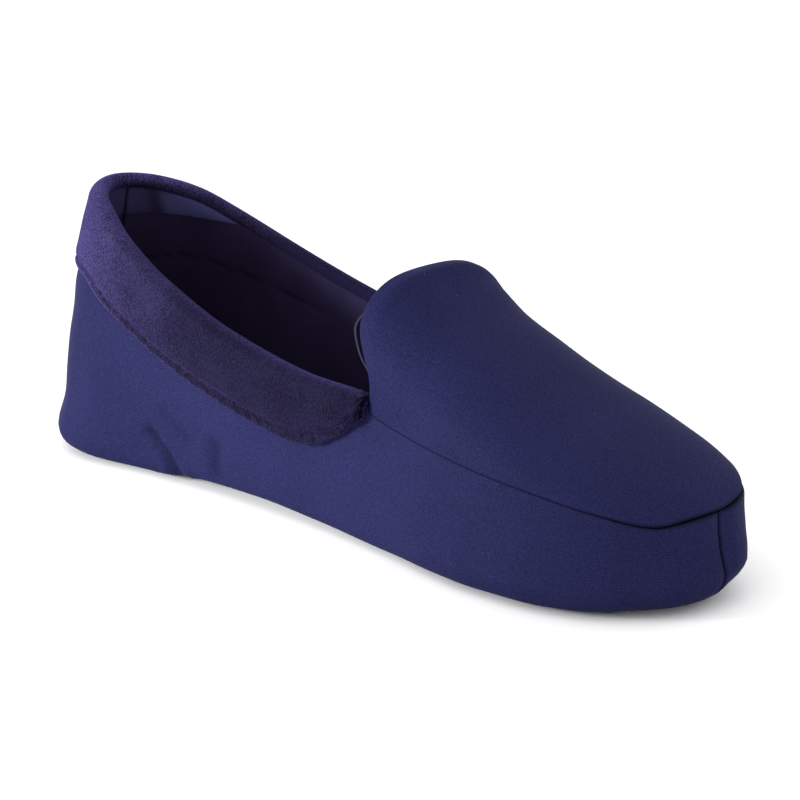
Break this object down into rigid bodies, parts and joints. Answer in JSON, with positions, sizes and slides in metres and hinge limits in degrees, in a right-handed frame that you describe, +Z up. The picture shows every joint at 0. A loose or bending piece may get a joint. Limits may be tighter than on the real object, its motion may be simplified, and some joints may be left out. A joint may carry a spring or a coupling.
{
  "type": "moccasin slipper",
  "caption": "Soft moccasin house slipper for the left foot: hollow knit upper with a sewn apron, turned-down plush cuff, thin suede sole and lined footbed.",
  "frame": {"origin": "on the floor, under the middle of the slipper's box", "axes": "+X from heel to toe, +Y to the foot's outer side, +Z up from the floor"},
  "size_m": [0.2554, 0.0816, 0.0844],
  "materials": {
    "knit": "navy stretch knit with a soft satin sheen",
    "suede": "dark brushed suede",
    "lining": "dark navy brushed lining",
    "plush": "violet-navy short pile",
    "facing": "navy satin facing"
  },
  "bodies": {
    "root": {"upper": "knit", "sole": "suede", "footbed": "lining", "cuff": "plush", "throat_facing": "facing"}
  },
  "joints": []
}
